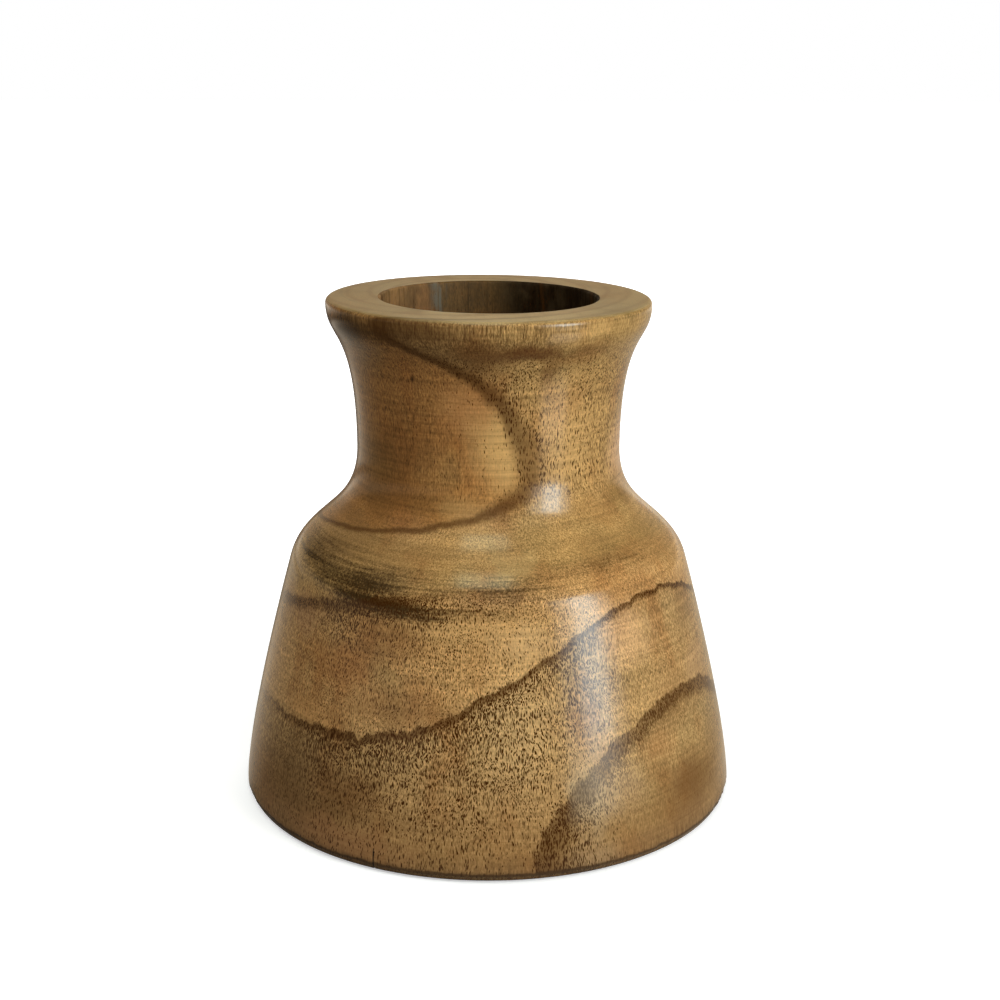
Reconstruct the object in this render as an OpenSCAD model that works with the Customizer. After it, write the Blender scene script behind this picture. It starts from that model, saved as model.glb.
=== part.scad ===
// A turned wooden vase with a lift-out glass liner and a felt base.
// Millimetres, Z up, origin on the table at the middle of the base.

/* [Turned body] */
// Height of the whole vase, from the table to the rim
height = 150; // [130:1:200]
// Diameter at the foot, where the side is widest
foot_d = 149; // [132:1:180]
// Diameter at the shoulder, where the side turns in
shoulder_d = 119; // [100:1:128]
// Diameter at the narrowest place of the neck
neck_d = 78; // [74:1:90]
// Diameter of the rim
rim_d = 95; // [91:1:120]
// From the rim down to the narrowest place of the neck
neck_drop = 44; // [34:1:56]
// From the narrowest place of the neck down to the shoulder
shoulder_drop = 33.7; // [24:0.1:44]
// Lean of the side at the shoulder, in degrees from upright
shoulder_lean = 15.8; // [8:0.1:22]
// Lean of the side at the foot, in degrees from upright
foot_lean = 1.5; // [0:0.1:6]
// Rounding of the rim's outer edge
rim_edge_r = 1.5; // [0.5:0.1:4]
// Height of the bevel round the underside
bevel_h = 1.6; // [0.5:0.1:5]
// Depth of the bevel, inward
bevel_w = 0.9; // [0.3:0.1:4]

/* [Curves of the outline] */
// How far the neck runs on before it flares to the lip
neck_ease = 0.84; // [0.5:0.01:0.95]
// How full the lip is below the rim
lip_ease = 0.25; // [0.1:0.01:0.5]
// How far the neck runs down before the cove
cove_ease = 0.6; // [0.3:0.01:0.8]
// How full the shoulder is
shoulder_ease = 0.4; // [0.15:0.01:0.6]
// How far the side keeps its lean below the shoulder
side_ease = 0.26; // [0.1:0.01:0.45]
// How far the side keeps its lean above the foot
foot_ease = 0.2; // [0.1:0.01:0.45]

/* [Bore] */
// Diameter of the bore
bore_d = 63; // [50:0.5:66]
// Wood left below the bore
floor_t = 20; // [12:1:40]
// Rounding of the bore's mouth
mouth_edge_r = 0.8; // [0.3:0.1:3]

/* [Glass liner] */
// Gap all round between the liner and the bore
liner_gap = 1; // [0.5:0.1:3]
// How far the liner's top lies below the rim
liner_recess = 14; // [11:0.5:40]
// Thickness of the liner's wall
liner_wall = 2.5; // [1.6:0.1:5]
// Thickness of the liner's bottom
liner_floor_t = 5; // [4:0.5:10]
// Rounding of the liner's bottom corner, outside
liner_heel_r = 4; // [1:0.5:8]
// Width of the ring that the liner stands on
liner_ring_w = 5; // [3:0.5:10]
// Rise of the liner's underside at its middle
liner_rise = 1.5; // [0.5:0.1:3]

/* [Felt base] */
// Thickness of the felt
felt_t = 1; // [0.6:0.1:4]
// From the edge of the underside in to the edge of the felt
felt_inset = 2.5; // [0.5:0.5:20]

/* [Hidden] */
$fn = 128;

// Heights and radii that the pieces share
neck_z = height - neck_drop;
shoulder_z = neck_z - shoulder_drop;
foot_z = felt_t + bevel_h;
bore_floor_z = felt_t + floor_t;
underside_r = foot_d / 2 - bevel_w;
bore_r = bore_d / 2;
liner_r = bore_r - liner_gap;
liner_top_z = height - liner_recess;
liner_bore_r = liner_r - liner_wall;
liner_corner_r = max(liner_heel_r - liner_wall, liner_wall / 2);

// Points on each curve and on each rounded edge
curve_steps = 24;
edge_steps = 8;

// The way the side leans, pointing down and out
function lean(angle) = [sin(angle), -cos(angle)];

// A curve that leaves a towards b and comes into d from c, without its first point
function curve(a, b, c, d) = [
    for (i = [1:curve_steps])
        let (t = i / curve_steps, s = 1 - t)
            a * s ^ 3 + b * 3 * s ^ 2 * t + c * 3 * s * t ^ 2 + d * t ^ 3
];

// A rounded edge about its centre, with both its ends
function rounded_edge(centre, r, from, to) = [
    for (i = [0:edge_steps])
        let (a = from + (to - from) * i / edge_steps)
            centre + r * [cos(a), sin(a)]
];

// The outline of the wood, from the foot up to the rim
function side_outline() =
    let (
        foot = [foot_d / 2, foot_z],
        shoulder = [shoulder_d / 2, shoulder_z],
        neck = [neck_d / 2, neck_z],
        lip = [rim_d / 2, height - rim_edge_r],
        side_h = shoulder_z - foot_z,
        flare_h = lip.y - neck_z
    )
    concat(
        [foot],
        curve(
            foot,
            foot - lean(foot_lean) * side_h * foot_ease,
            shoulder + lean(shoulder_lean) * side_h * side_ease,
            shoulder
        ),
        curve(
            shoulder,
            shoulder - lean(shoulder_lean) * shoulder_drop * shoulder_ease,
            neck - [0, shoulder_drop * cove_ease],
            neck
        ),
        curve(
            neck,
            neck + [0, flare_h * neck_ease],
            lip - [0, flare_h * lip_ease],
            lip
        )
    );

// One block of wood: foot, side, shoulder, neck and lip, bored from the top
module turned_body() {
    color("#a9804f")
        rotate_extrude()
            polygon(concat(
                [[0, felt_t], [underside_r, felt_t]],
                side_outline(),
                rounded_edge([rim_d / 2 - rim_edge_r, height - rim_edge_r], rim_edge_r, 0, 90),
                rounded_edge([bore_r + mouth_edge_r, height - mouth_edge_r], mouth_edge_r, 90, 180),
                [[bore_r, bore_floor_z], [0, bore_floor_z]]
            ));
}

// A straight tumbler that stands on a ring in the bore and holds the water
module glass_liner() {
    ring_r = liner_r - liner_heel_r;
    floor_z = bore_floor_z + liner_floor_t;
    color("#c9dcd6", 0.4)
        rotate_extrude()
            polygon(concat(
                [[0, bore_floor_z + liner_rise], [ring_r - liner_ring_w, bore_floor_z]],
                rounded_edge([ring_r, bore_floor_z + liner_heel_r], liner_heel_r, -90, 0),
                rounded_edge([liner_r - liner_wall / 2, liner_top_z - liner_wall / 2], liner_wall / 2, 0, 180),
                rounded_edge([liner_bore_r - liner_corner_r, floor_z + liner_corner_r], liner_corner_r, 0, -90),
                [[0, floor_z]]
            ));
}

// A disc of felt glued to the underside, which keeps the table from scratches
module felt_base() {
    color("#3a302a")
        cylinder(r = underside_r - felt_inset, h = felt_t);
}

turned_body();
glass_liner();
felt_base();
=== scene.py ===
import math

import bpy
import numpy as np
from mathutils import Matrix, Vector, noise


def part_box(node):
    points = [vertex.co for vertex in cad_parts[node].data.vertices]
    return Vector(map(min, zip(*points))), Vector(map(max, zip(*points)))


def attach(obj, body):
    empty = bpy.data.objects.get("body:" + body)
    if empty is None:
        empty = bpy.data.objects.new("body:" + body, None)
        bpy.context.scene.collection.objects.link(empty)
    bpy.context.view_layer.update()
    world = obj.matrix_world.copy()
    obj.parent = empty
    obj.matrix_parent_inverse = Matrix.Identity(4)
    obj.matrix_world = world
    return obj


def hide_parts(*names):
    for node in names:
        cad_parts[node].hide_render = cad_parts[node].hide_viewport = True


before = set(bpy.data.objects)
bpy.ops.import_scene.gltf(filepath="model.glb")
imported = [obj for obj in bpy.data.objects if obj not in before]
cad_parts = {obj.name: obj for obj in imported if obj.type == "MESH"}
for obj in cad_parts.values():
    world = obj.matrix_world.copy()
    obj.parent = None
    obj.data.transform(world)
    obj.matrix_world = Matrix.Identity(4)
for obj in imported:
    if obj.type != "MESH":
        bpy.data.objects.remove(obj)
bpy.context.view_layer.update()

# Turned body, its shape.
# One block of hardwood with upright grain, turned on a lathe to a flared foot, a round shoulder, a waisted
# neck and an everted lip, then bored from the top for the glass.
MM = 0.001
SIDE_STEP = 0.8 * MM
FLAT_STEP = 2.5 * MM
COLUMNS = 420
LEAST_RING_GAP = 0.1 * MM

CRACK_TURN = math.radians(-25)
CRACK_TOP = 7.5 * MM
CRACK_DEPTH = 0.9 * MM
CRACK_HALF_WIDTH = math.radians(0.13)

FOOT_WEAR = 0.45 * MM
FOOT_WEAR_REACH = 1.6 * MM
FOOT_CHIPS_ROUND = 26
FOOT_CHIP_TALL = 4 * MM
RIM_TILT_START = 112 * MM
RIM_TILT = 0.0058
BORE_GOUGE = 0.22 * MM
BORE_GOUGES_ROUND = 17
BORE_GOUGE_TALL = 30 * MM
MOUTH_WOBBLE = 0.25 * MM
MOUTH_WAVES_ROUND = 5
MOUTH_DEPTH = 6 * MM


def turned_rings(node):
    """Every ring of a bored piece as (radius, height), from its lower edge over the rim to the bore floor."""
    rings = {(round(math.hypot(v.co.x, v.co.y), 5), round(v.co.z, 5)) for v in node.data.vertices}
    top = max(height for radius, height in rings)
    mouth = min(radius for radius, height in rings if height == top)
    outside = sorted((r for r in rings if r[0] >= mouth), key=lambda r: (r[1], -r[0]))
    inside = sorted((r for r in rings if r[0] < mouth), key=lambda r: -r[1])
    kept = []
    for ring in outside + inside:
        if not kept or math.dist(kept[-1], ring) > LEAST_RING_GAP:
            kept.append(ring)
    return kept


def finer(points, step, curved):
    """Points at most step apart along an outline, on a smooth curve or on straight lines."""
    last = len(points) - 1
    fine = []
    for i in range(last):
        before, here, there, after = (Vector(points[min(max(i + k, 0), last)]) for k in (-1, 0, 1, 2))
        count = math.ceil((there - here).length / step)
        for k in range(count):
            t = k / count
            if curved:
                pull = (there - before) * 0.5
                push = (after - here) * 0.5
                spot = (
                    here * (2 * t**3 - 3 * t**2 + 1)
                    + pull * (t**3 - 2 * t**2 + t)
                    + there * (3 * t**2 - 2 * t**3)
                    + push * (t**3 - t**2)
                )
            else:
                spot = here.lerp(there, t)
            fine.append((spot.x, spot.y))
    return fine


def smooth(low, high, value):
    """A soft step from 0 at low to 1 at high."""
    t = min(max((value - low) / (high - low), 0.0), 1.0)
    return t * t * (3 - 2 * t)


rings = turned_rings(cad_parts["turned_body"])
rim_z = max(height for radius, height in rings)
bore_r = rings[-1][0]
foot_z = rings[1][1]
lip_r = max(radius for radius, height in rings if height > RIM_TILT_START)
first_rim = next(i for i, ring in enumerate(rings) if ring[1] == rim_z)
lip = next(i for i, ring in enumerate(rings) if ring[1] > RIM_TILT_START and ring[0] == lip_r)
mouth = first_rim + 1
wall = next(i for i, ring in enumerate(rings) if i > mouth and ring[0] == bore_r)

# The outline as named stretches. Each is a list of (radius, height).
stretches = {
    "underside": finer([(0.0, rings[0][1]), rings[0]], 3 * FLAT_STEP, False)[1:],
    "bevel": finer(rings[0:2], 0.5 * SIDE_STEP, False),
    "side": finer(rings[1 : lip + 1], SIDE_STEP, True),
    "rim_edge": rings[lip:first_rim],
    "rim": finer(rings[first_rim : mouth + 1], 0.5 * FLAT_STEP, False),
    "mouth_edge": rings[mouth:wall],
    "bore": finer(rings[wall:], FLAT_STEP, False),
    "bore_floor": finer([rings[-1], (0.0, rings[-1][1])], 2 * FLAT_STEP, False),
}
stations = [(radius, height, name) for name, points in stretches.items() for radius, height in points]

# The turns of the mesh columns, counted from the front: even all round, and close together at the crack.
column_step = math.tau / COLUMNS
turns = [-math.pi + column_step * (j + 0.5) for j in range(COLUMNS)]
turns = [turn for turn in turns if abs(turn - CRACK_TURN) > 1.2 * column_step]
turns += [CRACK_TURN + CRACK_HALF_WIDTH * k for k in (-5, -2.4, -1, 0, 1, 2.4, 5)]
turns.sort()


def outward(turn):
    """The level direction that points out from the axis at a turn to the right of the front."""
    return Vector((math.sin(turn), -math.cos(turn), 0.0))


def wood_point(radius, height, turn, stretch):
    """A point of the turned surface, with its wear, its crack, its slightly tilted rim and its rough bore."""
    sideways = outward(turn)
    if stretch in ("bevel", "side"):
        near_foot = max(0.0, 1 - abs(height - foot_z) / FOOT_WEAR_REACH)
        chip_spot = sideways * FOOT_CHIPS_ROUND + Vector((0, 0, height / FOOT_CHIP_TALL))
        chips = noise.fractal(chip_spot, 0.9, 2.1, 4)
        radius -= FOOT_WEAR * near_foot * smooth(-0.3, 0.9, chips)
        if turn == CRACK_TURN and height < CRACK_TOP:
            radius -= CRACK_DEPTH * math.sqrt(1 - height / CRACK_TOP)
    if stretch in ("mouth_edge", "bore"):
        depth = smooth(0.0, MOUTH_DEPTH, rim_z - height)
        gouge = noise.noise(sideways * BORE_GOUGES_ROUND + Vector((0, 0, height / BORE_GOUGE_TALL)))
        wobble = noise.noise(sideways * MOUTH_WAVES_ROUND)
        radius += BORE_GOUGE * depth * abs(gouge)
        radius += MOUTH_WOBBLE * (1 - depth) * max(wobble, 0.0)
    spot = sideways * radius
    tilt = RIM_TILT * smooth(RIM_TILT_START, rim_z, height)
    return (spot.x, spot.y, height - tilt * (spot.x + lip_r))


def lathe_mesh(name, stations, turns, point):
    """A closed mesh of quads round the upright axis, with a fan at each end."""
    verts = [point(*station[:2], turn, station[2]) for station in stations for turn in turns]
    rows, cols = len(stations), len(turns)
    faces = []
    for i in range(rows - 1):
        for j in range(cols):
            k = (j + 1) % cols
            faces.append((i * cols + j, i * cols + k, (i + 1) * cols + k, (i + 1) * cols + j))
    low_end, high_end = len(verts), len(verts) + 1
    verts.append((0.0, 0.0, stations[0][1]))
    verts.append((0.0, 0.0, stations[-1][1]))
    for j in range(cols):
        k = (j + 1) % cols
        faces.append((low_end, k, j))
        faces.append((high_end, (rows - 1) * cols + j, (rows - 1) * cols + k))
    mesh = bpy.data.meshes.new(name)
    mesh.from_pydata(verts, [], faces)
    mesh.shade_smooth()
    mesh.update()
    return mesh


body = bpy.data.objects.new("wood_body", lathe_mesh("wood_body", stations, turns, wood_point))
bpy.context.scene.collection.objects.link(body)

# The faces of the bore and of its floor take the second material, the raw wood.
RAW_STRETCHES = ("mouth_edge", "bore", "bore_floor")
raw_rows = [station[2] in RAW_STRETCHES for station in stations]
slots = [int(raw_rows[i]) for i in range(len(stations) - 1) for turn in turns]
slots += [0, 1] * len(turns)
body.data.polygons.foreach_set("material_index", slots)

# The map for flat pictures. The front half-turn and the back half-turn lie one above the other, and each
# stretch of the outline has its own strip.
STRIP_GAP = 0.002
STRIPS = {
    "side": (0.0, 0.72),
    "rim": (0.724, 0.816),
    "bore": (0.82, 0.92),
    "bore_floor": (0.924, 0.956),
    "underside": (0.96, 0.998),
}
STRIP_OF = {"bevel": "side", "rim_edge": "side", "mouth_edge": "rim"}

lengths = [0.0]
for here, there in zip(stations, stations[1:]):
    lengths.append(lengths[-1] + math.dist(here[:2], there[:2]))
strip_rows = {}
for i, station in enumerate(stations):
    strip_rows.setdefault(STRIP_OF.get(station[2], station[2]), []).append(i)
first_row = {strip: min(found) for strip, found in strip_rows.items()}
end_row = {strip: min(max(found) + 1, len(stations) - 1) for strip, found in strip_rows.items()}


def strip_spot(row, face_row, turn, half):
    """Where a corner lies on the flat map. The first row of its face says which strip it is in."""
    stretch = stations[face_row][2]
    strip = STRIP_OF.get(stretch, stretch)
    low, high = STRIPS[strip]
    start, end = lengths[first_row[strip]], lengths[end_row[strip]]
    share = (lengths[row] - start) / (end - start)
    middle = 0.5 * (low + high)
    low, high = (low, middle - STRIP_GAP / 2) if half else (middle + STRIP_GAP / 2, high)
    across = ((turn + math.pi / 2 + math.pi * half) % math.tau) / math.pi
    return across, low + share * (high - low)


bake_map = body.data.uv_layers.new(name="OFBake")
corner = 0
spots = np.zeros((len(body.data.loops), 2), np.float32)
for i in range(len(stations) - 1):
    for j, turn in enumerate(turns):
        next_turn = turns[(j + 1) % len(turns)]
        half = int(abs(turn + column_step / 2) > math.pi / 2)
        for row, angle in ((i, turn), (i, next_turn), (i + 1, next_turn), (i + 1, turn)):
            spots[corner] = strip_spot(row, i, angle, half)
            corner += 1
bake_map.data.foreach_set("uv", spots.ravel())

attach(body, "vase")
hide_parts("turned_body")

# Turned body, its wood.
# The grain runs upright, and the growth rings lie round a pith a little behind the middle of the vase, so the
# flaring sides cut them into wandering lines. Open pores show as short dashes and as dots on the rim.
PITH = (-3.2, 11.9, 0.0)
PITH_LEAN = (-0.031, 0.034, 0.0)
PITH_BEND = (-0.00016, -0.00053, 0.0)
PITH_HEIGHT = 75.0
RING_OVAL = 0.065
RING_TURN = math.radians(-13)
FIGURE_REACH = 100.0
# Each growth line: distance from the pith, softness of its inner edge, width, softness of its outer edge,
# darkness, how many of its vessels are open, the side where it is strongest, and how it fades from there.
ALL_ROUND = (-2.0, -1.5)
GROWTH_LINES = (
    (15.0, 0.2, 0.3, 0.6, 0.45, 0.5, 0, ALL_ROUND),
    (27.0, 0.2, 0.3, 0.7, 0.55, 0.5, 0, ALL_ROUND),
    (39.0, 0.2, 0.4, 0.8, 0.60, 0.5, 0, ALL_ROUND),
    (50.3, 0.5, 0.45, 1.0, 0.95, 0.4, -35, (0.2, 0.75)),
    (64.0, 0.3, 0.4, 0.8, 0.80, 0.9, -48, (0.72, 0.96)),
    (71.7, 0.12, 0.16, 0.4, 0.95, 1.1, 20, (-0.6, 0.65)),
    (78.0, 0.12, 0.45, 0.7, 0.75, 1.3, 0, ALL_ROUND),
    (87.0, 0.2, 0.8, 0.6, 0.70, 0.6, 0, ALL_ROUND),
)
# Vessels, the short upright tubes that open as pores: their spacing sideways and upright, and their radius.
VESSELS = (0.32, 1.65, 0.130)
FINE_VESSELS = (0.30, 1.7, 0.11)
LINE_VESSELS = (0.34, 1.9, 0.140)
# How the vessels change outwards: distance from the pith, share of them that is open, and how wide they are.
VESSEL_ZONES = (
    (0.0, 0.08, 0.75),
    (47.0, 0.08, 0.75),
    (50.2, 0.15, 0.80),
    (51.2, 0.65, 0.93),
    (54.0, 0.54, 0.93),
    (58.0, 0.46, 0.93),
    (63.0, 0.50, 0.90),
    (64.4, 0.92, 1.04),
    (66.0, 0.88, 1.00),
    (68.0, 0.85, 0.85),
    (71.6, 0.70, 0.78),
    (72.0, 1.00, 1.10),
    (76.2, 0.95, 1.05),
    (77.8, 0.55, 0.90),
    (78.4, 1.00, 1.05),
    (80.0, 0.80, 0.95),
    (82.0, 0.35, 0.80),
    (88.0, 0.35, 0.80),
)


def paint(red, green, blue):
    """A colour from the 0 to 255 values that a picture shows, as the shader wants it."""
    levels = [level / 255 for level in (red, green, blue)]
    linear = [s / 12.92 if s < 0.04045 else ((s + 0.055) / 1.055) ** 2.4 for s in levels]
    return (*linear, 1.0)


# How the tone of the bare wood changes outwards: distance from the pith, and colour.
WOOD_TONES = (
    (0.0, paint(150, 106, 58)),
    (41.0, paint(158, 111, 60)),
    (49.8, paint(166, 117, 64)),
    (51.8, paint(186, 145, 89)),
    (62.5, paint(176, 138, 83)),
    (64.8, paint(188, 143, 87)),
    (71.2, paint(198, 153, 96)),
    (72.4, paint(187, 148, 95)),
    (77.6, paint(187, 147, 94)),
    (80.0, paint(180, 144, 92)),
    (100.0, paint(160, 124, 74)),
)


def add(tree, kind, inputs=None, **settings):
    """A shader node. inputs maps a socket's name or number to a value, or to the output that feeds it."""
    made = tree.nodes.new("ShaderNode" + kind)
    for name, value in settings.items():
        setattr(made, name, value)
    for key, value in (inputs or {}).items():
        if isinstance(value, bpy.types.NodeSocket):
            tree.links.new(value, made.inputs[key])
        else:
            made.inputs[key].default_value = value
    return made


def calc(tree, operation, *values):
    """The result of one step of arithmetic on numbers or outputs."""
    return add(tree, "Math", dict(enumerate(values)), operation=operation).outputs[0]


def times(tree, first, *others):
    """The product of numbers or outputs."""
    for other in others:
        first = calc(tree, "MULTIPLY", first, other)
    return first


def swayed(tree, value, noise_value, reach):
    """A value that a noise pushes up and down."""
    return calc(tree, "MULTIPLY_ADD", calc(tree, "SUBTRACT", noise_value, 0.5), reach, value)


def vector(tree, operation, *values):
    """The result of one step of arithmetic on vectors."""
    sockets = (0, "Scale") if operation == "SCALE" else range(len(values))
    made = add(tree, "VectorMath", dict(zip(sockets, values)), operation=operation)
    return made.outputs["Value" if operation in ("LENGTH", "DOT_PRODUCT") else "Vector"]


def fade(tree, value, low, high, start=0.0, end=1.0):
    """A soft step in a shader: start up to low, end from high on."""
    sockets = {"Value": value, "From Min": low, "From Max": high, "To Min": start, "To Max": end}
    return add(tree, "MapRange", sockets, interpolation_type="SMOOTHSTEP").outputs["Result"]


def mixed(tree, share, first, second, blend="MIX"):
    """Two colours mixed by a share."""
    made = add(tree, "Mix", {0: share, 6: first, 7: second}, data_type="RGBA", blend_type=blend)
    return made.outputs[2]


def shaded(tree, colour, value):
    """A colour made darker or lighter by a value."""
    level = add(tree, "CombineColor", {0: value, 1: value, 2: value}).outputs[0]
    return mixed(tree, 1.0, colour, level, "MULTIPLY")


def cloudy(tree, place, stretch, detail=2.0, rough=0.5, output=0):
    """Noise from 0 to 1 with lumps of about the given sizes along X, Y and Z. output "Color" gives three."""
    scaled = vector(tree, "MULTIPLY", place, [1 / size for size in stretch])
    sockets = {"Vector": scaled, "Scale": 1.0, "Detail": detail, "Roughness": rough}
    return add(tree, "TexNoise", sockets).outputs[output]


def stops(tree, value, reach, marks):
    """A colour for each distance: marks are (distance, colour) and reach is the longest one."""
    made = add(tree, "ValToRGB", {"Fac": calc(tree, "DIVIDE", value, reach)})
    ramp = made.color_ramp
    while len(ramp.elements) < len(marks):
        ramp.elements.new(1.0)
    for element, (distance, shade) in zip(ramp.elements, marks):
        element.position = distance / reach
        element.color = shade
    return made.outputs["Color"]


def shared(name, inputs, outputs):
    """A new node group, with its inputs and outputs given as {name: kind}."""
    group = bpy.data.node_groups.new(name, "ShaderNodeTree")
    for label, kind in inputs.items():
        group.interface.new_socket(label, in_out="INPUT", socket_type="NodeSocket" + kind)
    for label, kind in outputs.items():
        group.interface.new_socket(label, in_out="OUTPUT", socket_type="NodeSocket" + kind)
    given = group.nodes.new("NodeGroupInput").outputs
    result = group.nodes.new("NodeGroupOutput").inputs
    return group, given, result


def wood_figure():
    """Colour of the bare wood, its pores, its growth lines and its fibres, for a place in millimetres."""
    outputs = {"Color": "Color", "Pores": "Float", "Lines": "Float", "Distance": "Float", "Fibre": "Float"}
    tree, given, result = shared("wood_figure", {"Place": "Vector"}, outputs)
    place = given["Place"]
    z = add(tree, "SeparateXYZ", {0: place}).outputs["Z"]

    # distance from the leaning pith, in slightly oval rings with a wandering edge
    above = calc(tree, "SUBTRACT", z, PITH_HEIGHT)
    lean = vector(tree, "SCALE", PITH_LEAN, above)
    bend = vector(tree, "SCALE", PITH_BEND, calc(tree, "MULTIPLY", above, above))
    upright = vector(tree, "SUBTRACT", vector(tree, "SUBTRACT", place, lean), bend)
    mapping = {
        "Vector": upright,
        "Location": PITH,
        "Rotation": (0, 0, RING_TURN),
        "Scale": (1 / (1 + RING_OVAL), 1 / (1 - RING_OVAL), 1),
    }
    centred = add(tree, "Mapping", mapping, vector_type="TEXTURE").outputs[0]
    distance = vector(tree, "LENGTH", vector(tree, "MULTIPLY", centred, (1, 1, 0)))
    distance = swayed(tree, distance, cloudy(tree, place, (9, 9, 30), 1.0), 0.6)
    distance = swayed(tree, distance, cloudy(tree, place, (4, 4, 12), 2.0, 0.55), 0.8)

    # growth lines: dark bands with jagged edges, crowded with pores
    jagged = swayed(tree, distance, cloudy(tree, place, (1.4, 1.4, 5), 2.0, 0.6), 0.12)
    side = vector(tree, "NORMALIZE", vector(tree, "MULTIPLY", upright, (1, 1, 0)))
    lines = 0.0
    crowd = 0.0
    for radius, inner, width, outer, darkness, crowded, strong_side, side_fade in GROWTH_LINES:
        past = calc(tree, "SUBTRACT", jagged, radius)
        facing = vector(tree, "DOT_PRODUCT", side, outward(math.radians(strong_side)))
        edge = times(tree, fade(tree, past, -inner, 0.5 * inner), fade(tree, facing, *side_fade))
        line = times(tree, edge, fade(tree, past, width, width + outer, darkness, 0.0))
        lines = calc(tree, "MAXIMUM", lines, line)
        line = times(tree, edge, fade(tree, past, width + 0.3, width + outer + 1.0, crowded, 0.0))
        crowd = calc(tree, "MAXIMUM", crowd, line)

    # pores: the surface cuts the vessels into dots and short dashes, close and wide outside each growth line
    drift = cloudy(tree, place, (9, 9, 11), output="Color")
    wander = vector(tree, "MULTIPLY_ADD", drift, (3.5, 3.5, 0), place)

    def vessels(apart, tall, radius, share, width):
        """Where a vessel is cut open: 1 in it, 0 beside it."""
        scaled = vector(tree, "MULTIPLY", wander, (1 / apart, 1 / apart, 1 / tall))
        cells = add(tree, "TexVoronoi", {"Vector": scaled, "Scale": 1.0}, voronoi_dimensions="3D").outputs
        size, chance = add(tree, "SeparateColor", {0: cells["Color"]}).outputs[:2]
        reach = calc(tree, "MULTIPLY_ADD", size, 0.5 * radius / apart, 0.75 * radius / apart)
        reach = times(tree, reach, width)
        near = fade(tree, calc(tree, "DIVIDE", cells["Distance"], reach), 0.8, 1.25, 1.0, 0.0)
        return times(tree, near, calc(tree, "LESS_THAN", chance, share))

    zones = [(mark, (share, width, 0, 1)) for mark, share, width in VESSEL_ZONES]
    zone = stops(tree, distance, FIGURE_REACH, zones)
    open_share, wide = add(tree, "SeparateColor", {0: zone}).outputs[:2]
    open_share = times(tree, open_share, fade(tree, z, 6.0, 32.0, 0.42, 1.0))
    patchy = fade(tree, cloudy(tree, place, (14, 14, 40), 1.0), 0.3, 0.7, 0.7, 1.2)
    common = vessels(*VESSELS, times(tree, open_share, patchy), wide)
    crowded = vessels(*LINE_VESSELS, crowd, 1.0)
    pores = calc(tree, "MAXIMUM", common, crowded)
    fine = vessels(*FINE_VESSELS, calc(tree, "MULTIPLY_ADD", open_share, 0.6, 0.25), 1.0)

    # fibres: fine upright streaks
    fibre = cloudy(tree, place, (0.35, 0.35, 9), 2.0, 0.65)

    # colour: each growth zone has its own tone, mottled with red and grey, under fine pores and fibres
    tone = stops(tree, distance, FIGURE_REACH, WOOD_TONES)
    mottle = cloudy(tree, place, (16, 16, 30), 3.0, 0.55)
    tone = mixed(tree, fade(tree, mottle, 0.46, 0.7, 0.0, 0.5), tone, paint(148, 93, 46))
    greyish = cloudy(tree, vector(tree, "ADD", place, (61, 17, 5)), (22, 22, 26))
    tone = mixed(tree, fade(tree, greyish, 0.52, 0.75, 0.0, 0.4), tone, paint(142, 117, 72))
    streak = fade(tree, fibre, 0.25, 0.75, 0.76, 1.22)
    grain = fade(tree, cloudy(tree, place, (0.42, 0.42, 1.3), 1.0, 0.6), 0.25, 0.75, 0.70, 1.26)
    fine_shade = calc(tree, "MULTIPLY_ADD", fine, -0.5, 1.0)
    tone = shaded(tree, tone, times(tree, streak, grain, fine_shade))

    tree.links.new(tone, result["Color"])
    tree.links.new(pores, result["Pores"])
    tree.links.new(lines, result["Lines"])
    tree.links.new(distance, result["Distance"])
    tree.links.new(fibre, result["Fibre"])
    return tree


figure = wood_figure()

# Turned body, its lacquer.
# A thin semi-gloss lacquer over the sanded wood. The tool left faint rings, and a smoky band where it rubbed
# on the shoulder.
LINE_SHADE = paint(78, 47, 16)
PORE_SHADE = paint(60, 29, 0)
SMOKE_SHADE = paint(42, 27, 6)
AMBER = (1.01, 1.0, 0.995, 1.0)
ROLL_RADIUS = 40.0
SCRATCH_X = -8.0
SCRATCH_Z = 27.3
# A painted highlight of the window's glare: turn from the front, height, reach sideways and upright.
PAINTED_GLARE = (24, 24.0, 11, 15)
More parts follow.
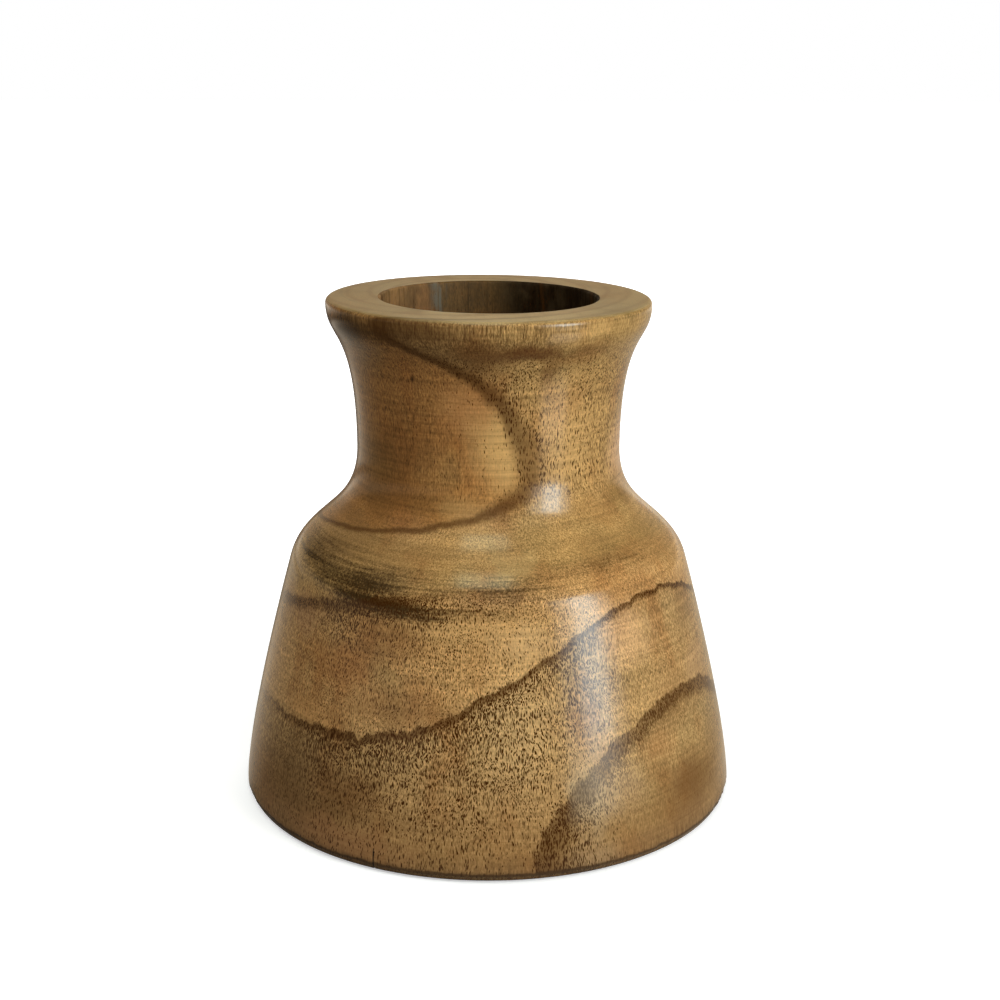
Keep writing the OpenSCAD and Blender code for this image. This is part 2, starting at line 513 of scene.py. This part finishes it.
# Patches of other tone, some the wood's own and some painted light and shade that evens out how the lamps
# fall: turn from the front, height, reach sideways and upright, colour, strength.
TONE_AND_LIGHT_PATCHES = (
    (-56, 107, 17, 12, paint(112, 84, 44), 0.50),
    (-38, 112, 14, 14, paint(98, 64, 30), 0.30),
    (5, 113, 12, 18, paint(212, 170, 107), 0.68),
    (-9, 125, 10, 11, paint(190, 138, 84), 0.50),
    (-42, 97, 30, 9, paint(112, 75, 36), 0.55),
    (4, 96, 8, 5, paint(116, 78, 38), 0.40),
    (-10, 96, 10, 5, paint(192, 152, 94), 0.45),
    (70, 96, 13, 6, paint(132, 96, 50), 0.60),
    (-55, 85, 30, 7, paint(116, 86, 48), 0.60),
    (-24, 84, 14, 6, paint(140, 104, 58), 0.35),
    (40, 85, 15, 5, paint(136, 104, 60), 0.46),
    # painted highlight: the pale greenish glint of the overhead light on the shoulder
    (7, 83, 9, 6, paint(198, 176, 118), 0.30),
    (48, 93, 10, 7, paint(140, 98, 50), 0.36),
    (-56, 96, 10, 5, paint(98, 68, 34), 0.30),
    (64, 83, 19, 8, paint(136, 104, 62), 0.36),
    (-6, 69, 24, 5, paint(208, 164, 104), 0.45),
    (10, 65, 12, 7, paint(216, 176, 122), 0.40),
    (-26, 63, 14, 8, paint(126, 83, 43), 0.55),
    (-42, 54, 18, 9, paint(162, 105, 54), 0.50),
    (-57, 63, 13, 7, paint(188, 144, 96), 0.68),
    (66, 62, 13, 10, paint(140, 108, 68), 0.42),
    (66, 46, 11, 8, paint(196, 158, 112), 0.40),
    (44, 31, 10, 7, paint(186, 132, 80), 0.40),
    # painted highlight: the window's glare where it runs low on the front right
    (23, 21, 9, 12, paint(208, 186, 148), 0.36),
    (33, 18, 9, 12, paint(122, 94, 62), 0.22),
    (7, 42, 13, 28, paint(214, 176, 120), 0.38),
    # painted light: the foot lightened on the front right
    (23, 6, 11, 7, paint(206, 178, 138), 0.40),
    (-21, 46, 22, 8, paint(126, 84, 44), 0.52),
    (52, 42, 15, 12, paint(142, 102, 60), 0.40),
    (38, 64, 13, 12, paint(230, 182, 130), 0.55),
    (-46, 39, 16, 5, paint(198, 147, 88), 0.50),
    (-52, 16, 26, 22, paint(94, 70, 44), 0.58),
    (-32, 21, 17, 9, paint(104, 68, 34), 0.55),
    # painted light: the foot on the left lightened against the shade near the floor
    (-34, 7, 26, 7.5, paint(192, 142, 95), 0.80),
    (53, 19, 10, 8, paint(96, 66, 36), 0.45),
    (70, 22, 12, 16, paint(112, 86, 58), 0.25),
    (6, 5, 13, 5, paint(108, 76, 44), 0.30),
    (38, 6, 10, 5, paint(108, 84, 62), 0.32),
    (50, 7, 11, 5, paint(108, 78, 52), 0.35),
    (25, 107, 12, 7, paint(204, 163, 104), 0.30),
    (78, 107, 15, 13, paint(232, 184, 136), 0.50),
    (54, 16, 22, 13, paint(108, 76, 44), 0.65),
    (36, 116, 12, 20, paint(208, 164, 104), 0.42),
    (0, 140.6, 14, 4.6, paint(98, 60, 26), 0.60),
    (15, 140.2, 14, 4.0, paint(94, 54, 24), 0.80),
    (36, 138.6, 13, 3.8, paint(116, 66, 30), 0.38),
    (20, 145.0, 9, 4.0, paint(124, 88, 46), 0.22),
    (38, 145.0, 8, 4.0, paint(214, 172, 108), 0.35),
    (23, 135, 4, 4.5, paint(108, 70, 32), 0.60),
    (52, 144.5, 20, 4.5, paint(216, 170, 104), 0.25),
    (-58, 144, 22, 5.5, paint(54, 35, 10), 0.78),
    (-26, 146, 18, 4.0, paint(92, 60, 28), 0.62),
    (-30, 132, 1.2, 1.6, paint(60, 36, 16), 0.80),
)
# Smoke from rubbing, on the shoulder: turn from the front, height, reach sideways and upright, strength.
SMOKE = (
    (-74, 79.5, 17, 4.8, 0.50),
    (-58, 78.6, 19, 7.0, 0.68),
    (-46, 74.8, 16, 6.0, 0.45),
    (-33, 78.6, 14, 4.2, 0.75),
    (-34, 72.6, 16, 6.0, 0.85),
    (-22, 72.0, 15, 3.6, 0.66),
    (-14, 79.0, 24, 3.6, 0.40),
    (8, 78.2, 17, 3.8, 0.66),
    (-4, 72.4, 24, 3.0, 0.55),
    (40, 82.0, 30, 3.4, 0.52),
)


def new_material(name):
    """An empty node material, with its shader and the place on the piece in millimetres."""
    material = bpy.data.materials.new(name)
    material.use_nodes = True
    tree = material.node_tree
    shader = tree.nodes["Principled BSDF"]
    coordinates = add(tree, "TexCoord").outputs["Object"]
    place = vector(tree, "SCALE", coordinates, 1 / MM)
    return material, tree, shader, place


def use(tree, group, inputs):
    """The outputs of a node group placed in a material."""
    return add(tree, "Group", inputs, node_tree=group).outputs


def drifted(tree, place, drift, reach):
    """A place that a noise pushes about."""
    push = vector(tree, "SUBTRACT", drift, (0.5, 0.5, 0.5))
    return vector(tree, "MULTIPLY_ADD", push, reach, place)


def off_mark(tree, value, mark):
    """How far a value lies from a mark, on either side."""
    return calc(tree, "ABSOLUTE", calc(tree, "SUBTRACT", value, mark))


def side_radius(height):
    """Radius of the outside at a height."""
    side = stretches["side"]
    return float(np.interp(height, [h for r, h in side], [r for r, h in side]))


def off_spot(tree, place, turn, height, reach, tall):
    """How far a place lies from a spot on the side: 0 at its middle and 1 at its reach."""
    middle = outward(math.radians(turn)) * (side_radius(height * MM) / MM)
    middle.z = height
    away = vector(tree, "DIVIDE", vector(tree, "SUBTRACT", place, middle), (reach, reach, tall))
    return vector(tree, "LENGTH", away)


def lacquered_wood():
    """The wood's figure under lacquer, with its patches of tone and of painted light, its smoke, its sanded
    rim with a painted sheen, its marks of use, painted shade low down, at the foot and in the split, and a
    painted highlight.
    """
    material, tree, shader, place = new_material("lacquered_wood")
    wood = use(tree, figure, {"Place": place})
    x, y, z = add(tree, "SeparateXYZ", {0: place}).outputs

    # the place on a roll without flare, so that level streaks run straight round
    around = vector(tree, "NORMALIZE", vector(tree, "MULTIPLY", place, (1, 1, 0)))
    upright = add(tree, "CombineXYZ", {2: z}).outputs[0]
    roll_place = vector(tree, "MULTIPLY_ADD", around, (ROLL_RADIUS, ROLL_RADIUS, 0), upright)

    # patches of other tone and of painted light and shade, with drifting edges
    drift = cloudy(tree, place, (9, 9, 14), output="Color")
    patched = drifted(tree, place, drift, (12, 12, 8))
    colour = wood["Color"]
    for *spot, shade, strength in TONE_AND_LIGHT_PATCHES:
        share = fade(tree, off_spot(tree, patched, *spot), 0.2, 1.1, strength, 0.0)
        colour = mixed(tree, share, colour, shade)

    # smoke on the shoulder, in fine level streaks broken by the grain
    smoked = drifted(tree, place, drift, (9, 9, 4))
    smoke = 0.0
    for *spot, strength in SMOKE:
        share = fade(tree, off_spot(tree, smoked, *spot), 0.0, 1.3, strength, 0.0)
        smoke = calc(tree, "ADD", smoke, share)
    smoke = swayed(tree, smoke, cloudy(tree, roll_place, (22, 22, 0.8), 4.0, 0.65), 1.5)
    dust = cloudy(tree, place, (0.6, 0.6, 0.8), 2.0, 0.6)
    smoke = swayed(tree, smoke, dust, 1.5)
    colour = mixed(tree, fade(tree, smoke, 0.0, 1.2, 0.0, 0.92), colour, SMOKE_SHADE)

    # a dark wedge of heartwood outside the first line under the lip
    wedge = times(
        tree,
        fade(tree, wood["Distance"], 49.9, 51.1),
        fade(tree, wood["Distance"], 51.5, 60.0, 1.0, 0.0),
        fade(tree, z, 127.0, 138.0),
        fade(tree, x, -6.0, 14.0, 0.5, 0.0),
        fade(tree, y, -25.0, -10.0, 1.0, 0.0),
    )
    colour = mixed(tree, wedge, colour, paint(92, 60, 28))

    # level streaks that the tool left
    turned = cloudy(tree, roll_place, (34, 34, 1.2), 4.0, 0.7)
    colour = shaded(tree, colour, fade(tree, turned, 0.3, 0.7, 0.83, 1.14))

    # the low part, with painted shade that makes it darker and browner towards the foot, and the shoulder,
    # rubbed smooth
    colour = mixed(tree, fade(tree, z, 2.0, 38.0, 0.55, 0.0), colour, paint(122, 82, 42))
    rubbed = times(tree, fade(tree, z, 75.0, 79.0), fade(tree, z, 93.0, 103.0, 1.0, 0.0))
    colour = mixed(tree, times(tree, rubbed, 0.06), colour, paint(118, 82, 42))

    # fine upright hatching under the rim, where the flare lays the end of the grain open
    hatch = times(
        tree,
        fade(tree, cloudy(tree, place, (0.5, 0.5, 8), 3.0, 0.7), 0.45, 0.6),
        fade(tree, z, 138.0, 142.5),
        fade(tree, x, 10.0, 28.0, 0.60, 0.10),
    )
    colour = mixed(tree, hatch, colour, paint(72, 44, 18))

    # lines and pores over the tone. Few pores are open on the rubbed shoulder, on the lip, and where the
    # lacquer has run thick at both sides of the front
    side_x, side_y = add(tree, "SeparateXYZ", {0: around}).outputs[:2]
    thick = times(
        tree,
        calc(tree, "MAXIMUM", fade(tree, side_x, 0.42, 0.66), fade(tree, side_x, -0.95, -0.6, 0.8, 0.0)),
        fade(tree, side_y, -0.2, 0.1, 0.65, 0.0),
        fade(tree, z, 76.0, 84.0, 1.0, 0.0),
        calc(tree, "SUBTRACT", 1.0, wood["Lines"]),
    )
    pores = times(
        tree,
        wood["Pores"],
        calc(tree, "MULTIPLY_ADD", rubbed, -0.75, 1.0),
        fade(tree, z, 136.5, 142.5, 1.0, 0.3),
        calc(tree, "SUBTRACT", 1.0, thick),
    )
    colour = mixed(tree, times(tree, wood["Lines"], 0.78), colour, LINE_SHADE)
    colour = mixed(tree, pores, colour, PORE_SHADE)

    # a painted highlight, pale, low on the right of the front where the window's glare runs down
    glare_paint = fade(tree, off_spot(tree, patched, *PAINTED_GLARE), 0.2, 1.1, 0.17, 0.0)
    colour = mixed(tree, glare_paint, colour, paint(206, 188, 156))

    # the rim, sanded pale across the end of the grain, with a painted sheen of the bright room over its flat
    # top
    level_z = calc(tree, "MULTIPLY_ADD", calc(tree, "ADD", x, lip_r / MM), RIM_TILT, z)
    sanded = fade(tree, level_z, rim_z / MM - 0.8, rim_z / MM - 0.1, 0.0, 0.55)
    to_side = fade(tree, calc(tree, "ABSOLUTE", x), 8.0, 42.0)
    rim_tone_and_sheen = mixed(tree, to_side, paint(189, 168, 119), paint(156, 136, 90))
    rim_tone_and_sheen = mixed(tree, fade(tree, y, 22.0, 42.0, 0.0, 0.4), rim_tone_and_sheen, paint(148, 122, 76))
    smudges = cloudy(tree, place, (7, 7, 4), 3.0, 0.6)
    rim_tone_and_sheen = mixed(tree, fade(tree, smudges, 0.42, 0.7, 0.0, 0.6), rim_tone_and_sheen, paint(122, 100, 56))
    year = calc(tree, "PINGPONG", wood["Distance"], 3.4)
    rim_tone_and_sheen = mixed(tree, fade(tree, year, 1.8, 3.2, 0.0, 0.55), rim_tone_and_sheen, paint(112, 88, 48))
    colour = mixed(tree, sanded, colour, rim_tone_and_sheen)

    # tool rings, dirt in the worn arris of the foot, and painted shade on the chamfer below it, which faces
    # the floor
    rings_cut = cloudy(tree, roll_place, (30, 30, 0.45), 2.0, 0.7)
    colour = mixed(tree, fade(tree, rings_cut, 0.62, 0.8, 0.0, 0.3), colour, paint(104, 62, 28))
    ragged_z = swayed(tree, z, cloudy(tree, place, (2, 2, 2), 3.0), 1.2)
    arris = off_mark(tree, ragged_z, foot_z / MM + 0.2)
    colour = mixed(tree, fade(tree, arris, 0.2, 0.7, 0.75, 0.0), colour, paint(50, 33, 18))
    # painted shade: the chamfer under the foot darkened, fading out just above it
    foot_shade = fade(tree, z, foot_z / MM - 0.4, foot_z / MM + 2.0, 0.55, 0.0)
    colour = mixed(tree, foot_shade, colour, paint(74, 53, 32))

    # upright checks above the foot, where the end of the grain drank the most lacquer
    checks = times(
        tree,
        fade(tree, cloudy(tree, place, (0.7, 0.7, 14), 3.0, 0.7), 0.46, 0.62),
        fade(tree, z, 1.0, 10.0, 0.5, 0.0),
        fade(tree, x, -30.0, 10.0, 0.6, 1.35),
    )
    colour = mixed(tree, checks, colour, paint(70, 44, 22))

    # a level scratch round the front
    wavering_z = swayed(tree, z, cloudy(tree, roll_place, (9, 9, 9), 1.0), 1.2)
    scratch = times(
        tree,
        fade(tree, off_mark(tree, wavering_z, SCRATCH_Z), 0.1, 0.35, 0.6, 0.0),
        fade(tree, dust, 0.4, 0.6),
        fade(tree, off_mark(tree, x, SCRATCH_X), 14.0, 28.0, 1.0, 0.0),
        calc(tree, "LESS_THAN", y, 0.0),
    )
    colour = mixed(tree, scratch, colour, LINE_SHADE)

    # a split that runs up from the foot, with painted shade inside it
    turn = calc(tree, "ARCTAN2", x, calc(tree, "MULTIPLY", y, -1.0))
    beside = off_mark(tree, turn, CRACK_TURN)
    split_shade = times(
        tree,
        fade(tree, beside, CRACK_HALF_WIDTH * 0.7, CRACK_HALF_WIDTH * 1.6, 0.95, 0.0),
        fade(tree, z, CRACK_TOP / MM - 1.5, CRACK_TOP / MM, 1.0, 0.0),
    )
    colour = mixed(tree, split_shade, colour, paint(28, 18, 10))

    # the lacquer itself, faintly amber, over the relief of pores, fibres and tool rings
    tree.links.new(mixed(tree, 1.0, colour, AMBER, "MULTIPLY"), shader.inputs["Base Color"])
    gloss = fade(tree, rings_cut, 0.3, 0.8, 0.15, 0.21)
    gloss = calc(tree, "MULTIPLY_ADD", sanded, 0.25, gloss)
    tree.links.new(gloss, shader.inputs["Roughness"])
    relief = calc(tree, "MULTIPLY_ADD", wood["Pores"], -0.3, times(tree, wood["Fibre"], 0.2))
    relief = calc(tree, "MULTIPLY_ADD", rings_cut, 0.5, relief)
    bump = add(tree, "Bump", {"Height": relief, "Strength": 0.2, "Distance": 0.05 * MM})
    tree.links.new(bump.outputs[0], shader.inputs["Normal"])
    shader.inputs["IOR"].default_value = 1.5
    return material


body.data.materials.append(lacquered_wood())

# Turned body, its bore.
# The inside of the same block, left as the boring tool left it: torn upright fibres, browned by sealer, with
# hardly any gloss. Painted shade makes it pale on the left and nearly black on the right, away from the
# window, and a painted grey glint runs down its left.
BORE_LEFT = 28.0
BORE_SHADE_REACH = 64.0
GLINT_X = -15.5
# How the bore's tone darkens from left to right, painted shade away from the window: distance, and colour.
BORE_TONE_AND_SHADE = (
    (0.0, paint(136, 104, 66)),
    (12.0, paint(112, 82, 54)),
    (17.0, paint(68, 58, 38)),
    (34.0, paint(38, 31, 19)),
    (41.0, paint(8, 5, 3)),
    (64.0, paint(3, 2, 1)),
)


def bored_wood():
    """Torn wood, browned by sealer, with painted shade that darkens it to the right and a painted grey glint
    on the left.
    """
    material, tree, shader, place = new_material("bored_wood")
    wood = use(tree, figure, {"Place": place})
    torn = cloudy(tree, place, (1.1, 1.1, 26), 3.0, 0.6)
    blotch = cloudy(tree, place, (6, 6, 9), 3.0, 0.6)
    x = add(tree, "SeparateXYZ", {0: place}).outputs["X"]
    across = calc(tree, "MULTIPLY_ADD", blotch, 8.0, calc(tree, "ADD", x, BORE_LEFT))
    tone_and_shade = stops(tree, across, BORE_SHADE_REACH, BORE_TONE_AND_SHADE)
    colour = mixed(tree, fade(tree, across, 30.0, 42.0, 0.75, 0.96), wood["Color"], tone_and_shade)
    colour = mixed(tree, fade(tree, blotch, 0.42, 0.7, 0.0, 0.6), colour, paint(70, 56, 36))
    colour = mixed(tree, fade(tree, torn, 0.46, 0.75, 0.0, 0.5), colour, paint(48, 36, 20))
    # a painted grey glint, upright on the left of the bore
    painted_glint = times(
        tree,
        fade(tree, off_mark(tree, x, GLINT_X), 0.5, 3.4, 0.5, 0.0),
        fade(tree, torn, 0.42, 0.55),
        fade(tree, blotch, 0.38, 0.58),
    )
    colour = mixed(tree, painted_glint, colour, paint(112, 110, 98))
    colour = mixed(tree, times(tree, wood["Lines"], 0.6), colour, LINE_SHADE)
    colour = mixed(tree, times(tree, wood["Pores"], 0.6), colour, PORE_SHADE)
    tree.links.new(colour, shader.inputs["Base Color"])
    tree.links.new(fade(tree, torn, 0.3, 0.7, 0.42, 0.62), shader.inputs["Roughness"])
    shader.inputs["Specular IOR Level"].default_value = 0.1
    bump = add(tree, "Bump", {"Height": torn, "Strength": 0.6, "Distance": 0.4 * MM})
    tree.links.new(bump.outputs[0], shader.inputs["Normal"])
    return material


body.data.materials.append(bored_wood())

# Glass liner.
# A plain tumbler of clear glass with a thick floor, which holds the water. It stands loose in the bore and
# lifts straight out.
GLASS_TINT = (0.93, 0.97, 0.95, 1.0)


def clear_glass():
    """Clear glass, a little wavy and smeared."""
    material, tree, shader, place = new_material("clear_glass")
    smears = cloudy(tree, place, (6, 6, 18))
    tree.links.new(fade(tree, smears, 0.45, 0.75, 0.015, 0.06), shader.inputs["Roughness"])
    waves = cloudy(tree, place, (14, 14, 30), 1.0)
    bump = add(tree, "Bump", {"Height": waves, "Strength": 0.15, "Distance": 0.5 * MM})
    tree.links.new(bump.outputs[0], shader.inputs["Normal"])
    shader.inputs["Base Color"].default_value = GLASS_TINT
    shader.inputs["IOR"].default_value = 1.5
    shader.inputs["Transmission Weight"].default_value = 1.0
    return material


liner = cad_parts["glass_liner"]
liner.data.materials.clear()
liner.data.materials.append(clear_glass())

# Felt base.
# A disc of brown wool felt, punched from a thin sheet. It is glued under the foot, so that the vase doesn't
# scratch a table.
FELT_RINGS = 24
FELT_COLUMNS = 240
FELT_FUZZ = 0.12 * MM
FELT_TUFT = 3 * MM

felt_low, felt_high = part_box("felt_base")
felt_r = felt_high.x
felt_t = felt_high.z - felt_low.z


def felt_point(radius, height, turn, stretch):
    """A point of the felt, uneven below and ragged at its cut edge."""
    sideways = outward(turn)
    spot = sideways * radius
    nap = 0.5 + 0.5 * noise.fractal(spot / FELT_TUFT, 0.8, 2.2, 3)
    if stretch == "edge":
        spot -= sideways * FELT_FUZZ * max(nap, 0.0)
    if stretch == "below":
        height += FELT_FUZZ * min(max(nap, 0.0), 1.0)
    return (spot.x, spot.y, height)


edge_round = 0.25 * felt_t
felt_outline = [(felt_r * k / FELT_RINGS, felt_low.z, "below") for k in range(1, FELT_RINGS)]
felt_outline += [
    (felt_r - edge_round, felt_low.z, "edge"),
    (felt_r - 0.3 * edge_round, felt_low.z + 0.3 * edge_round, "edge"),
    (felt_r, felt_low.z + edge_round, "edge"),
    (felt_r, felt_high.z, "edge"),
]
felt_outline += [(felt_r * k / FELT_RINGS, felt_high.z, "above") for k in range(FELT_RINGS - 1, 0, -1)]
felt_turns = [math.tau * j / FELT_COLUMNS for j in range(FELT_COLUMNS)]
felt = bpy.data.objects.new("felt_disc", lathe_mesh("felt_disc", felt_outline, felt_turns, felt_point))
bpy.context.scene.collection.objects.link(felt)


def wool_felt():
    """Matted brown hairs with a soft sheen."""
    material, tree, shader, place = new_material("wool_felt")
    hairs = cloudy(tree, place, (0.5, 0.5, 0.5), 4.0, 0.7)
    patches = cloudy(tree, place, (7, 7, 7))
    colour = mixed(tree, fade(tree, hairs, 0.3, 0.7), paint(48, 34, 24), paint(82, 62, 46))
    colour = mixed(tree, fade(tree, patches, 0.4, 0.8, 0.0, 0.35), colour, paint(58, 46, 36))
    tree.links.new(colour, shader.inputs["Base Color"])
    bump = add(tree, "Bump", {"Height": hairs, "Strength": 0.8, "Distance": 0.3 * MM})
    tree.links.new(bump.outputs[0], shader.inputs["Normal"])
    shader.inputs["Roughness"].default_value = 0.95
    shader.inputs["Sheen Weight"].default_value = 0.4
    return material


felt.data.materials.append(wool_felt())
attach(felt, "vase")
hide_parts("felt_base")

# Studio.
# A pale floor, a tall window light with a curtain on the right, a small light overhead, softer lights all
# round that the lacquer doesn't mirror, and white for the camera beyond.
FLOOR_SIZE = 12.0
FLOOR_NEAR = 0.10
FLOOR_FAR = 0.32
FLOOR_EDGE = 0.065
SIDE_BLEND = 0.06
WINDOW_TURN = 54
AIM = Vector((0, 0, 0.08))

floor_mesh = bpy.data.meshes.new("floor")
half_floor = FLOOR_SIZE / 2
floor_corners = [(sx * half_floor, sy * half_floor, 0.0) for sx, sy in ((-1, -1), (1, -1), (1, 1), (-1, 1))]
floor_mesh.from_pydata(floor_corners, [], [(0, 1, 2, 3)])
floor = bpy.data.objects.new("floor", floor_mesh)
bpy.context.scene.collection.objects.link(floor)


def grey(value):
    """A grey colour from one value."""
    return (value, value, value, 1.0)


def pale_floor():
    """White for the camera, with the vase's soft shadow. For reflections it glows as a darker, warmer floor:
    a painted reflection that the lacquer mirrors.
    """
    material = bpy.data.materials.new("pale_floor")
    material.use_nodes = True
    tree = material.node_tree
    shader = tree.nodes["Principled BSDF"]
    path = add(tree, "LightPath").outputs
    straight = calc(tree, "MAXIMUM", path["Is Camera Ray"], path["Is Transmission Ray"])
    spot = add(tree, "TexCoord").outputs["Object"]
    across, back = add(tree, "SeparateXYZ", {0: spot}).outputs[:2]
    off = vector(tree, "LENGTH", spot)
    tone = mixed(tree, path["Is Glossy Ray"], grey(0.22), grey(0.02))
    tree.links.new(mixed(tree, straight, tone, grey(0.80)), shader.inputs["Base Color"])
    shader.inputs["Roughness"].default_value = 1.0
    shader.inputs["Specular IOR Level"].default_value = 0.0
    glow = times(tree, straight, fade(tree, off, FLOOR_NEAR, FLOOR_FAR, 0.45, 1.0))

    def sides(left, right):
        """One value on the left of the vase and another on its right."""
        return fade(tree, across, -SIDE_BLEND, SIDE_BLEND, left, right)

    # the floor glows for reflections only, a painted reflection that the lacquer mirrors: dark in front of
    # the vase and pale behind it, most of all on the left, with a paler band half a metre off on that side
    # and a dull one beyond it
    beside = calc(tree, "SUBTRACT", calc(tree, "ABSOLUTE", across), FLOOR_EDGE)
    away = add(tree, "CombineXYZ", {0: beside, 1: calc(tree, "ADD", back, 0.02)}).outputs[0]
    facing_back = add(tree, "SeparateXYZ", {0: vector(tree, "NORMALIZE", away)}).outputs["Y"]
    mirrored = times(
        tree,
        calc(tree, "POWER", calc(tree, "MAXIMUM", facing_back, 0.0), 2.6),
        sides(0.70, 0.45),
        fade(tree, facing_back, 0.91, 0.97, 1.0, sides(0.18, 1.0)),
        fade(tree, off, 0.13, 0.7, sides(1.10, 1.3), sides(0.85, 1.3)),
        fade(tree, off, 0.8, 1.1, 1.0, 2.2),
        fade(tree, off_mark(tree, off, 0.50), 0.02, 0.09, sides(1.5, 1.0), 1.0),
        fade(tree, off_mark(tree, off, 0.66), 0.08, 0.13, sides(0.28, 1.0), 1.0),
        fade(tree, off, 0.085, 0.12, 0.75, 1.0),
    )
    mirrored = calc(tree, "ADD", mirrored, fade(tree, off, 0.082, 0.115, sides(0.08, 0.28), 0.0))

    # and a painted glow where the window would shine back from it, in two stretches
    window_way = outward(math.radians(WINDOW_TURN))
    toward = vector(tree, "DOT_PRODUCT", vector(tree, "NORMALIZE", spot), window_way)
    window_glow = times(
        tree,
        fade(tree, toward, 0.970, 0.992),
        fade(tree, off, 0.13, 0.3),
        fade(tree, off, 0.45, 0.55, 2.6, 3.6),
        fade(tree, off_mark(tree, off, 0.49), 0.07, 0.11),
        fade(tree, off, 0.66, 0.75, 1.0, 0.0),
    )
    mirrored = times(tree, calc(tree, "ADD", mirrored, window_glow), path["Is Glossy Ray"])
    tree.links.new(mixed(tree, straight, paint(255, 239, 214), grey(1.0)), shader.inputs["Emission Color"])
    tree.links.new(calc(tree, "ADD", glow, mirrored), shader.inputs["Emission Strength"])
    return material


floor_mesh.materials.append(pale_floor())


def bright_room():
    """White for the camera, dim for the wood, and in the lacquer a warm room, brightest at the back."""
    world = bpy.data.worlds.new("studio")
    world.use_nodes = True
    tree = world.node_tree
    background = tree.nodes["Background"]
    path = add(tree, "LightPath").outputs
    straight = calc(tree, "MAXIMUM", path["Is Camera Ray"], path["Is Transmission Ray"])
    direction = add(tree, "TexCoord").outputs["Generated"]
    across, back, up = add(tree, "SeparateXYZ", {0: direction}).outputs
    mirrored = times(tree, fade(tree, back, 0.6, 0.98, 0.03, 0.36), fade(tree, up, 0.15, 0.4, 1.0, 0.6))
    low_left = times(tree, fade(tree, across, -0.6, -0.4, 0.3, 0.0), fade(tree, up, 0.08, 0.17, 1.0, 0.0))
    mirrored = calc(tree, "ADD", mirrored, low_left)
    level = add(tree, "Mix", {0: path["Is Glossy Ray"], 2: 0.12, 3: mirrored}, data_type="FLOAT").outputs[0]
    level = add(tree, "Mix", {0: straight, 2: level, 3: 1.0}, data_type="FLOAT").outputs[0]
    tint = mixed(tree, path["Is Glossy Ray"], grey(1.0), paint(255, 238, 210))
    tree.links.new(tint, background.inputs["Color"])
    tree.links.new(level, background.inputs["Strength"])
    return world


bpy.context.scene.world = bright_room()


def soft_light(name, turn, rise, reach, size, power, glossy, tint=(1.0, 1.0, 1.0)):
    """A rectangular light that looks at the vase from a turn to the right, a rise and a distance."""
    light = bpy.data.lights.new(name, "AREA")
    light.shape = "RECTANGLE"
    light.size, light.size_y = size
    light.energy = power
    light.color = tint
    lamp = bpy.data.objects.new(name, light)
    turn, rise = math.radians(turn), math.radians(rise)
    away = outward(turn) * math.cos(rise) + Vector((0, 0, math.sin(rise)))
    lamp.location = AIM + away * reach
    lamp.rotation_euler = away.to_track_quat("Z", "Y").to_euler()
    lamp.visible_glossy = glossy
    bpy.context.scene.collection.objects.link(lamp)


soft_light("window", WINDOW_TURN, 10, 1.5, (0.40, 1.05), 7.8, True, (0.82, 0.98, 1.02))
soft_light("window_curtain", WINDOW_TURN - 1, 10, 1.52, (0.86, 1.10), 6.4, True, (0.82, 0.97, 1.02))
soft_light("overhead", -4, 67, 1.5, (0.60, 0.40), 2.2, True, (0.80, 1.0, 0.72))
soft_light("bright_side", 46, 28, 1.5, (0.6, 1.0), 8.6, False, (1.0, 0.95, 0.9))
soft_light("room", 0, 42, 1.6, (1.0, 1.0), 8, False)
soft_light("right", 105, 15, 1.5, (0.8, 0.8), 4.0, False, (1.0, 0.95, 0.9))
soft_light("left", -75, 45, 1.5, (0.8, 0.8), 3.5, False)
soft_light("back_left", -135, 25, 1.5, (0.8, 0.8), 5, False)
soft_light("behind", 175, 35, 1.5, (0.9, 0.9), 7, False)

# Camera.
# It stands half a metre in front of the vase and 7 cm above its rim, and looks down at it through a lens
# of 60 mm.
CAMERA_PLACE = (0.0, -0.4815, 0.2212)
LOOK_DOWN = math.radians(15.448)
ROLL = math.radians(0.152)

camera_data = bpy.data.cameras.new("camera")
camera_data.sensor_width = 36.0
camera_data.lens = 59.77
camera_data.shift_x = 0.01177
camera_data.clip_start = 0.01
camera = bpy.data.objects.new("camera", camera_data)
tilted = Matrix.Rotation(math.pi / 2 - LOOK_DOWN, 4, "X")
rolled = Matrix.Rotation(ROLL, 4, "Z")
camera.matrix_world = Matrix.Translation(CAMERA_PLACE) @ tilted @ rolled
bpy.context.scene.collection.objects.link(camera)
bpy.context.scene.camera = camera
bpy.context.scene.view_settings.view_transform = "Standard"
